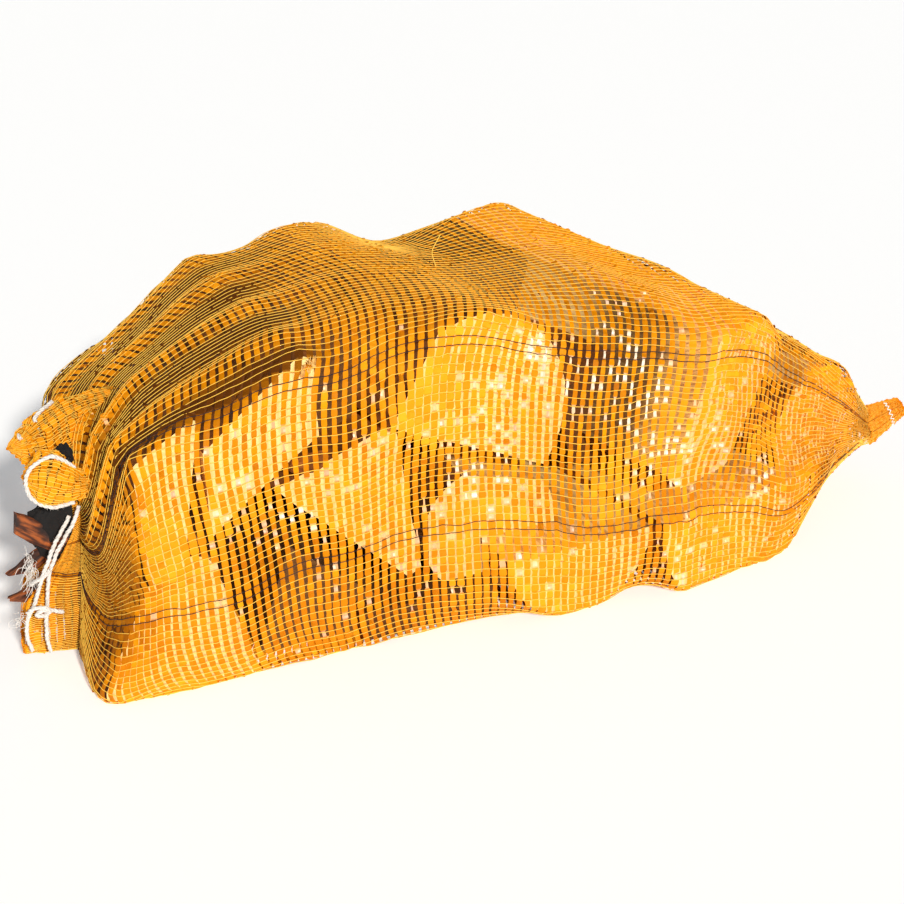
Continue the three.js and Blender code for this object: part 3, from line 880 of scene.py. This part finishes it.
# painted light and painted shade in the net's tape colour, above 0 lit and below 0 shaded
paintedNetLight = {"skirt": 0.45, "skirtFolds": 0.7, "ridges": 2.0, "leftTop": 0.3, "neck": 0.9, "neckRows": 4.0,
           "tail": 0.75}
# slack net given painted light, or painted shade, whatever lies behind: (middle, radius, amount)
litSpots = [((52, -145, 106), 34, 0.85), ((-70, -136, 24), 34, 0.55), ((128, -120, 190), 40, 0.7),
            ((-54, -143, 84), 42, 0.85), ((110, -145, 148), 40, 0.75), ((213, -110, 156), 22, -0.35),
            ((-118, -84, 234), 46, 0.5), ((-100, 10, 240), 62, 0.45), ((-98, -125, 200), 40, 0.65),
            ((196, -130, 110), 34, 0.6), ((-308, -108, 103), 32, -0.6), ((-312, -114, 62), 32, -0.5),
            ((-325, -108, 25), 26, -0.4), ((-163, -135, 42), 46, 0.4)]


def paintedLightOfNet():
    skirt = paintedNetLight["skirt"] + paintedNetLight["skirtFolds"] * skirtFolds
    paintedLight = np.vstack([skirt, np.clip(netRidges[neckAt:] * paintedNetLight["ridges"], -1, 1)])
    leftTop = eased(-netPlaces[..., 0], 110, 200) * eased(netPlaces[..., 2], 120, 170)
    fromNeck = np.arange(len(netPlaces)) - neckAt
    # painted shade at the left top and by the neck, painted light on the tail
    paintedLight = paintedLight - paintedNetLight["leftTop"] * leftTop
    paintedLight = paintedLight - paintedNetLight["neck"] * np.exp(-(fromNeck / paintedNetLight["neckRows"]) ** 2)[:, None]
    for centre, radius, amount in litSpots:
        near = np.exp(-(distances(netPlaces, centre) / radius) ** 4)
        paintedLight = mix(paintedLight, np.maximum(paintedLight, amount) if amount > 0 else amount, near)
    paintedLight[-tail["rows"]:] = paintedNetLight["tail"]
    return paintedLight


def wholeNet():
    rows, columns = netPlaces.shape[:2]
    paintedLight = paintedLightOfNet()
    parts = np.linspace(0, rows, 4).astype(int)
    for name, first, last in zip(("netTapesLeft", "netTapesMiddle", "netTapesRight"), parts, parts[1:]):
        points, faces, marks = tapeLoops(netPlaces, first, last, 21 + first, paintedLight[first:last])
        tapes = netPiece(name, points, faces, tapeMaterial, marks, smooth=False)
        tapes.visible_shadow = False  # the wood behind stays as bright as through a real net
    plain = [j for j in range(columns) if j not in markerThreads]
    radius = netForm["threadRadius"]
    netPiece("netThreads", *lengthThreads(netPlaces, plain, radius, 23), threadMaterial)
    netPiece("netMarkers", *lengthThreads(netPlaces, markerThreads, radius, 24), markerMaterial)


wholeNet()

# above the mouth the net is gathered into two lobes, one with the drawstring in its hem
mouthLobes = {
    "hem": {"stops": [(-300, -52, 137), (-312, -60, 140), (-322, -63, 142), (-332, -64, 145),
                      (-341, -64, 150), (-349, -63, 152), (-354, -62, 153)],
            "sizes": [(5, 5, 5), (7, 8, 7), (12, 12, 10), (18, 17, 11), (21, 17, 11), (15, 13, 8),
                      (3, 3, 3)],
            "rows": 15, "columns": 46, "seed": 31},
    "flap": {"stops": [(-280, 10, 168), (-300, -2, 170), (-320, -14, 168), (-339, -26, 165),
                       (-351, -34, 165), (-359, -38, 164)],
             "sizes": [(8, 8, 8), (9, 16, 8), (14, 24, 9), (13, 20, 8), (5, 15, 6), (2, 2, 2)],
             "rows": 17, "columns": 40, "seed": 32}}
# each lobe is two layers of net: (fullness, painted light), the inner layer dimmer
lobeNet = {"depth": 3.4, "fine": 2.4, "pleats": 9, "pleatDepth": 1.1, "sink": 1.2, "threadRadius": 0.32,
           "layers": ((1.0, 0.95), (0.8, 0.25))}
# the drawstring lies on a lobe by (share of its length, turn): lobe, points, seed, route
hemRoutes = {"loop": ("hem", 110, 7, [(0.38, -25), (0.5, -25), (0.68, -28), (0.85, -45), (0.93, -90),
                                      (0.85, -135), (0.68, -150), (0.5, -152), (0.34, -150)]),
             "top": ("flap", 40, 8, [(0.42, 2), (0.5, -8), (0.58, -14), (0.62, -30)]),
             "corner": ("flap", 24, 9, [(0.8, -5), (0.815, -25), (0.82, -48)])}


def lobePoint(lobe, share, turn, out=0.0, full=1.0):
    centre = curveAt(lobe["stops"], share)
    along = unit(curveAt(lobe["stops"], share + 0.01) - curveAt(lobe["stops"], share - 0.01))
    up = unit(np.array([0, 0, 1.0]) - along * along[2])
    back = np.cross(along, up)
    above, below, thick = curveAt(lobe["sizes"], share)
    height = mix(below, above, (1 + math.cos(turn)) / 2) * full + out
    return centre + up * height * math.cos(turn) + back * (thick * full + out) * math.sin(turn)


def wrinkleAt(lobe, share, turn, full):
    spot = lobePoint(lobe, share, turn, 0.0, full)
    seed = lobe["seed"] + full * 9
    deep = noise.noise(Vector(spot * 0.09) + Vector((seed, 0, 0)))
    fine = noise.noise(Vector(spot * 0.24) - Vector((0, seed, 0)))
    pleat = math.sin(turn * lobeNet["pleats"] + 5 * deep)
    room = min(1.0, share * 5, (1 - share) * 5)
    return (deep * lobeNet["depth"] + fine * lobeNet["fine"] + pleat * lobeNet["pleatDepth"]) * room


def lobeNets():
    for label, lobe in mouthLobes.items():
        turns = np.arange(lobe["columns"]) * 2 * math.pi / lobe["columns"]
        shares = np.linspace(0, 0.995, lobe["rows"])
        for layer, (full, paintedLight) in enumerate(lobeNet["layers"]):
            folds = np.array([[wrinkleAt(lobe, share, turn, full) for turn in turns] for share in shares])
            grid = np.array([[lobePoint(lobe, share, turn, fold - lobeNet["sink"], full)
                              for turn, fold in zip(turns, line)] for share, line in zip(shares, folds)])
            # painted light on the lobes' folded-out ridges, painted shade in their creases
            shade = np.clip(paintedLight * (0.5 + 0.42 * folds), -0.8, 1)
            points, faces, marks = tapeLoops(grid, 0, lobe["rows"], lobe["seed"] + layer, shade)
            netPiece(f"mouthTapes_{label}_{layer}", points, faces, tapeMaterial, marks, smooth=False)
            seed = lobe["seed"] + 5 + layer
            points, faces = lengthThreads(grid, range(lobe["columns"]), lobeNet["threadRadius"], seed)
            netPiece(f"mouthThreads_{label}_{layer}", points, faces, threadMaterial)


def hemString():
    for name, (lobe, count, seed, route) in hemRoutes.items():
        stops = [lobePoint(mouthLobes[lobe], share, math.radians(turn), 1.0) for share, turn in route]
        piece = twistedString("drawstring_hem_" + name, curvePoints(stops, count), seed)
        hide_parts("drawstring_hem")


lobeNets()
hemString()
print("net woven")


# wood of the logs, laid out along each log's own grain
def sawnFinish():
    finish = Finish("sawnEnd", Roughness=0.8, Specular_IOR_Level=0.2)
    grain = finish.mark("grain", 1)
    flat = finish.drawnOut(grain, 0.05)
    bent = finish.blend(flat, finish.clouds(flat, 24.0, 2.0, 1), 0.012, "ADD")
    rings = finish.node("ShaderNodeTexWave", {"wave_type": "RINGS", "rings_direction": "Z"},
                        {"Vector": bent, "Scale": 62.0, "Distortion": 1.2, "Detail": 2.0})
    pale = finish.blend(shown(242, 203, 122), shown(255, 232, 164), finish.clouds(flat, 30.0, 3.0))
    wood = finish.blend(pale, shown(214, 162, 88), rings * 0.35)
    # painted shade: recessed logs are blended towards dark brown
    wood = finish.blend(wood, shown(88, 44, 8), finish.mark("logPaintedShade"))
    bump = finish.relief(0.5, 0.0008, finish.clouds(grain, 900.0, 2.0) + rings * 0.3)
    return finish.put(Base_Color=wood, Normal=bump)


def splitFinish():
    finish = Finish("splitWood", Roughness=0.78, Specular_IOR_Level=0.2)
    grain = finish.mark("grain", 1)
    fibre = finish.clouds(finish.drawnOut(grain, 0.04), 240.0, 4.0)
    cloud = finish.clouds(grain, 14.0, 3.0)
    wood = finish.blend(shown(206, 152, 76), shown(248, 208, 130), finish.stepped(fibre, 0.3, 0.68))
    wood = finish.blend(wood, shown(180, 118, 60), finish.stepped(cloud, 0.5, 0.8) * 0.6)
    # painted shade: recessed logs are blended towards dark brown
    wood = finish.blend(wood, shown(64, 32, 8), finish.mark("logPaintedShade"))
    return finish.put(Base_Color=wood, Normal=finish.relief(0.6, 0.0015, fibre))


def barkFinish():
    finish = Finish("bark", Roughness=0.9, Specular_IOR_Level=0.2)
    grain = finish.mark("grain", 1)
    plates = finish.clouds(finish.drawnOut(grain, 0.3), 70.0, 5.0)
    cloud = finish.clouds(grain, 16.0, 2.0)
    brown = finish.blend(shown(84, 46, 15), shown(146, 86, 34), finish.stepped(plates, 0.34, 0.66))
    brown = finish.blend(brown, shown(118, 98, 78), finish.stepped(cloud, 0.5, 0.75) * 0.4)
    return finish.put(Base_Color=brown, Normal=finish.relief(0.9, 0.003, plates))


def sliverFinish():
    finish = Finish("redBark", Roughness=0.75)
    grain = finish.mark("grain", 1)
    fibre = finish.clouds(finish.drawnOut(grain, 0.15), 420.0, 4.0)
    patch = finish.clouds(grain, 60.0, 2.0)
    brown = finish.blend(shown(62, 26, 10), shown(164, 84, 30), finish.stepped(fibre, 0.36, 0.68))
    brown = finish.blend(brown, shown(30, 20, 18), finish.stepped(patch, 0.5, 0.62) * 0.85)
    return finish.put(Base_Color=brown, Normal=finish.relief(0.7, 0.0012, fibre))


woodMaterials = [sawnFinish(), splitFinish(), barkFinish()]
woodDetail = {"slices": 22, "lanes": 9, "roughness": 2.2}


def cutPlane(bm, point, normal, clear=False):
    return bmesh.ops.bisect_plane(bm, geom=bm.verts[:] + bm.edges[:] + bm.faces[:], dist=0.001,
                                  plane_co=point, plane_no=normal, clear_outer=clear)["geom_cut"]


# each log is a bark cylinder cut by its split planes, then sliced fine to be roughened
def splitLog(log):
    length = logFrame(log)[4]
    radius = log["radius"] / math.cos(math.pi / logFacets)
    bm = bmesh.new()
    placed = Matrix.Translation((0, 0, length / 2)) @ Matrix.Rotation(math.pi / logFacets, 4, "Z")
    bmesh.ops.create_cone(bm, cap_ends=True, segments=logFacets, radius1=radius, radius2=radius,
                          depth=length, matrix=placed)
    woodSides = []
    for k, (turn, reach) in enumerate(log["splits"]):
        angle = math.radians(turn)
        normal = Vector((math.cos(angle), math.sin(angle), 0))
        cut = cutPlane(bm, normal * reach, normal, True)
        bmesh.ops.contextual_create(bm, geom=[e for e in cut if isinstance(e, bmesh.types.BMEdge)])
        if k not in log.get("barkSplits", ()):
            woodSides.append((normal, reach))
    bm.normal_update()
    for face in bm.faces:
        middle = face.calc_center_median()
        split = any(face.normal.dot(n) > 0.999 and abs(middle.dot(n) - r) < 0.2 for n, r in woodSides)
        face.material_index = 0 if abs(face.normal.z) > 0.7 else 1 if split else 2
    for k in range(1, woodDetail["slices"]):
        cutPlane(bm, Vector((0, 0, length * k / woodDetail["slices"])), Vector((0, 0, 1)))
    for k in range(1, woodDetail["lanes"]):
        offset = -radius + 2 * radius * k / woodDetail["lanes"]
        cutPlane(bm, Vector((offset, 0, 0)), Vector((1, 0, 0)))
        cutPlane(bm, Vector((0, offset, 0)), Vector((0, 1, 0)))
    bmesh.ops.triangulate(bm, faces=bm.faces[:])
    bm.normal_update()
    bm.verts.index_update()
    return bm


# no corner of a log reaches through the net
def heldInside(points):
    spots = netPlaces.reshape(-1, 3)
    outward = netDirections(netPlaces)[2].reshape(-1, 3)
    tree = kdtree.KDTree(len(spots))
    for k, spot in enumerate(spots):
        tree.insert(spot, k)
    tree.balance()
    for i, point in enumerate(points):
        k, gap = tree.find(point)[1:]
        over = float(np.dot(point - spots[k], outward[k])) + 1.0
        if 0 < over and gap < 40:
            points[i] = point - outward[k] * over
    return points


# painted shade at a point of a log, as a whole log or on its shaded split side
def paintedShadeAt(log, spot):
    if "paintedSideShade" in log:
        turn, reach = log["splits"][log["paintedSideShade"][0]]
        turn = math.radians(turn)
        if abs(spot.x * math.cos(turn) + spot.y * math.sin(turn) - reach) < 1.5:
            return float(sideShadeAt(log, spot.z))
    return log.get("paintedShade", 0.0)


def logPieces():
    points, faces, slots, grains, shadeValues = [], [], [], [], []
    for number, log in enumerate(shownPile + shadedDeepBillets):
        front, along, across, above = logFrame(log)[:4]
        bm = splitLog(log)
        base = len(points)
        lean = Vector((number * 0.37, number * 0.71, number * 1.3))
        for vertex in bm.verts:
            spot = vertex.co
            coarse = noise.noise(Vector((spot.x * 0.035, spot.y * 0.035, spot.z * 0.006)) + lean)
            fine = noise.noise(Vector((spot.x * 0.16, spot.y * 0.16, spot.z * 0.02)) - lean)
            sink = woodDetail["roughness"] * (0.6 + 0.6 * coarse + 0.4 * fine)
            moved = spot - vertex.normal * max(0.0, sink)
            points.append(front + across * moved.x + above * moved.y + along * moved.z)
            grains.append((spot.x * milli + number * 0.3, spot.y * milli, spot.z * milli + number * 0.21))
            shadeValues.append(paintedShadeAt(log, spot))
        for face in bm.faces:
            faces.append(tuple(base + v.index for v in face.verts))
            slots.append(face.material_index)
        bm.free()
    piece = pieceFrom("logs", heldInside(np.array(points)), faces, woodMaterials,
                      {"grain": np.array(grains), "logPaintedShade": np.array(shadeValues)}, slots, smooth=False)
    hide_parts("net_of_logs")
    print("logs", len(faces), "triangles")


logPieces()

# bark slivers, and near-black lumps of painted shade in the mouth
slivers = {
    "bark_sliver_upper": {"at": (-333, -50, 90), "length": 44, "width": 17, "thick": 6, "tip": 10,
                          "roll": 90, "climb": 38},
    "bark_sliver_middle": {"at": (-334, -43.5, 90), "length": 44, "width": 12, "thick": 5.5, "tip": 16,
                           "roll": 90, "climb": -32},
    "bark_sliver_lower": {"at": (-352, -50, 58), "length": 24, "width": 11, "thick": 6, "tip": 12,
                          "roll": 80, "climb": -15}}
sliverDetail = {"stations": 22, "sides": 16, "ragged": 4, "rough": 1.1, "shrink": 0.98}
mouthShadeLumps = [{"centre": (-336, -46, 103), "radii": (18, 7, 24)},
             {"centre": (-325, -50, 157), "radii": (6, 6, 9)}]


# a flat bar with rounded sides and a slanted, ragged tip
def roughSliver(node, spec, seed, material):
    stations, sides = sliverDetail["stations"], sliverDetail["sides"]
    turned = (Matrix.Rotation(math.radians(180 + spec["climb"]), 3, "Y")
              @ Matrix.Rotation(math.radians(spec["roll"]), 3, "X"))
    points, grains = [], []
    for i in range(stations):
        share = i / (stations - 1)
        narrow = 1 - 0.25 * max(0, share - 0.6)
        for k in range(sides):
            angle = 2 * math.pi * k / sides
            across = math.copysign(abs(math.cos(angle)) ** 0.45, math.cos(angle))
            deep = math.copysign(abs(math.sin(angle)) ** 0.55, math.sin(angle))
            ragged = noise.noise(Vector((across * 2.1, deep * 1.3, seed * 3.7))) * sliverDetail["ragged"]
            end = spec["length"] - spec["tip"] * (0.5 + 0.5 * across) + ragged
            wide = across * spec["width"] / 2 * narrow
            thick = deep * spec["thick"] / 2 * narrow
            spot = Vector((share * end, wide, thick))
            rough = noise.noise(Vector((spot.x * 0.09, spot.y * 0.4, spot.z * 0.4 + seed)))
            rough = rough * sliverDetail["rough"]
            spot = spot * sliverDetail["shrink"] + Vector((0, across, deep)) * rough
            points.append(np.array(turned @ spot) + np.array(spec["at"], float))
            grains.append((spot.y * milli, spot.z * milli, spot.x * milli + seed * 0.1))
    piece = pieceFrom(node + "_rough", points, tubeFaces(0, stations, sides), [material],
                      {"grain": np.array(grains)}, smooth=False)
    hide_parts(node)


def roughLump(centre, radii, grainSize):
    bm = bmesh.new()
    bmesh.ops.create_icosphere(bm, subdivisions=4, radius=1.0)
    points = []
    for vertex in bm.verts:
        coarse = noise.noise(vertex.co * grainSize)
        fine = noise.noise(vertex.co * grainSize * 2.8)
        swell = 1 + 0.27 * coarse + 0.13 * fine
        points.append(np.array(vertex.co) * np.array(radii) * swell + np.array(centre, float))
    bm.verts.index_update()
    faces = [tuple(v.index for v in face.verts) for face in bm.faces]
    bm.free()
    return np.array(points), faces


def mouthSliversAndShade():
    red = sliverFinish()
    for seed, (node, spec) in enumerate(slivers.items()):
        roughSliver(node, spec, seed + 1, red)
    # near-black lumps of painted shade stand where the mouth lies in shadow
    paintedShadeFinish = Finish("mouthPaintedShade", Base_Color=shown(15, 12, 12), Roughness=0.9).material
    for number, lump in enumerate(mouthShadeLumps):
        points, faces = roughLump(lump["centre"], lump["radii"], 2.2)
        piece = pieceFrom(f"mouth_painted_shade_{number}", points, faces, [paintedShadeFinish], smooth=False)


mouthSliversAndShade()
print("mouth filled")

# small things: splinters, a bark patch, a loose thread, stitches, the string's tuft and knot
smallThings = {"splinters": 34, "apex": (-168, -126, 227), "splinterSlope": 24, "splinterDepth": 9,
               "patch": (-176, -125, 158), "patchRadii": (15, 6, 7),
               "looseThread": [(-38, -16, 239.5), (-39, -12, 246), (-38, -8, 250), (-33, -4, 255),
                               (-28, 0, 259)],
               "stitches": 15, "stitchRows": (0.62, 0.7), "stitchFrom": 100.0, "stitchStep": 11,
               "tuft": (-358, -62, 84), "tuftHairs": 70, "fray": (-370, -72, 51), "frayHairs": 24,
               "strand": [(-347, -75, 86), (-352, -74, 81), (-357, -70, 77), (-360, -65, 72)],
               "knot": [(-366, -75, 56), (-361, -77, 60), (-355, -78, 60), (-351, -77.5, 56),
                        (-355, -77, 53), (-360, -77.5, 55), (-355, -78.5, 58), (-348, -77.5, 55),
                        (-342, -76, 52)]}


def woodSplinters():
    dice = random.Random(17)
    points, faces, grains = [], [], []
    for number in range(smallThings["splinters"]):
        down = dice.random() ** 1.5 * smallThings["splinterSlope"]
        root = np.array([-0.78 * down, dice.uniform(0, smallThings["splinterDepth"]), -0.62 * down])
        root = root + np.array(smallThings["apex"], float)
        way = unit(np.array([dice.gauss(-0.05, 0.3), dice.gauss(-0.45, 0.3), dice.uniform(0.5, 1.0)]))
        length = dice.uniform(5, 13) * (1 - down / 40)
        thick = dice.uniform(0.6, 1.9)
        aside = unit(np.cross(way, [0.2, 0.9, 0.3]))
        above = np.cross(way, aside)
        n = len(points)
        for k in range(3):
            turn = 2 * math.pi * k / 3
            points.append(root + thick * (math.cos(turn) * aside * 1.6 + math.sin(turn) * above))
            faces.append((n + k, n + (k + 1) % 3, n + 3))
        points.append(root + way * length)
        faces.append((n + 2, n + 1, n))
        for y, z in ((0.0, 0.0), (0.001, 0.0), (0.0, 0.002), (0.0, 0.02)):
            grains.append((number * 0.05, y, z))
    pieceFrom("splinters", points, faces, [woodMaterials[1]],
              {"grain": np.array(grains), "logPaintedShade": np.zeros(len(points))}, smooth=False)


def barkPatch():
    points, faces = roughLump(smallThings["patch"], smallThings["patchRadii"], 1.8)
    pieceFrom("bark_patch", points, faces, [woodMaterials[2]], {"grain": points * milli}, smooth=False)


def looseBits():
    points, faces = [], []
    tubeAlong(curvePoints(smallThings["looseThread"], 40), 0.4, 5, points, faces)
    pieceFrom("loose_thread", points, faces, [threadMaterial])
    stitches = []
    for k in range(smallThings["stitches"]):
        turn = math.radians(smallThings["stitchFrom"] + k * smallThings["stitchStep"])
        place = tailRow(np.array([turn]), smallThings["stitchRows"][k % 2])[0]
        stitches.append(place + np.array([0, -0.9, 0]))
    points, faces = [], []
    tubeAlong(evenLine(np.array(stitches), 90), 0.45, 5, points, faces)
    stringPiece("tail_stitches", points, faces, np.full(len(points), 0.9))


def stringTuft():
    dice = random.Random(23)
    points, faces = [], []
    for label, high, low in (("tuft", 6, -3), ("fray", 3, -1)):
        for hair in range(smallThings[label + "Hairs"]):
            start = np.array([dice.gauss(0, 1.6), dice.gauss(0, 1.2), dice.gauss(0, high)])
            start = start + np.array(smallThings[label], float)
            bend = start + np.array([dice.gauss(-1, 2), dice.gauss(-1, 1.5), dice.gauss(low, high / 2)])
            end = bend + np.array([dice.gauss(-1, 2), dice.gauss(0, 1.5), dice.gauss(low, high / 2)])
            tubeAlong(curvePoints([start, bend, end], 6), 0.2, 3, points, faces)
    stringPiece("drawstring_tuft", points, faces, np.full(len(points), 0.9))
    for label, count, seed in (("strand", 40, 10), ("knot", 70, 11)):
        twistedString("drawstring_" + label, curvePoints(smallThings[label], count), seed)


woodSplinters()
barkPatch()
looseBits()
stringTuft()
print("small things added")

# paper ground that turns up far away, daylight and one low sun from the front
daylight = {"paper": 40.0, "rim": 39.0, "rimHeight": 2.4, "paperGlow": 0.24, "sky": 0.22,
            "sun": 3.7, "sunSpread": 5, "sunYaw": 2, "sunElevation": 30}


def layPaper():
    paper = Finish("paperFloor", Base_Color=shown(252, 252, 252), Roughness=0.9,
                   Emission_Color=(0.88, 0.94, 1.0), Emission_Strength=daylight["paperGlow"])
    mesh = bpy.data.meshes.new("paperFloor")
    bm = bmesh.new()
    bmesh.ops.create_grid(bm, x_segments=1, y_segments=1, size=daylight["paper"])
    rim = daylight["rim"]
    height = daylight["rimHeight"]
    bmesh.ops.create_cone(bm, cap_ends=False, segments=64, radius1=rim, radius2=rim, depth=height,
                          matrix=Matrix.Translation((0, 0, height / 2)))
    bm.to_mesh(mesh)
    bm.free()
    mesh.materials.append(paper.material)
    ground = linked("paperFloor", mesh)


def lightUp():
    world = bpy.data.worlds.new("daylight")
    world.use_nodes = True
    sky = world.node_tree.nodes["Background"]
    sky.inputs[0].default_value = (1.0, 1.0, 1.0, 1.0)
    sky.inputs[1].default_value = daylight["sky"]
    bpy.context.scene.world = world
    sun = bpy.data.lights.new("frontSun", "SUN")
    sun.energy = daylight["sun"]
    sun.angle = math.radians(daylight["sunSpread"])
    sun.color = (1.0, 0.97, 0.92)
    lamp = linked("frontSun", sun)
    towards = directionAt(daylight["sunYaw"], daylight["sunElevation"])
    lamp.rotation_euler = towards.to_track_quat("Z", "Y").to_euler()
    bpy.context.scene.view_settings.view_transform = "Standard"


layPaper()
lightUp()
print("stage lit")
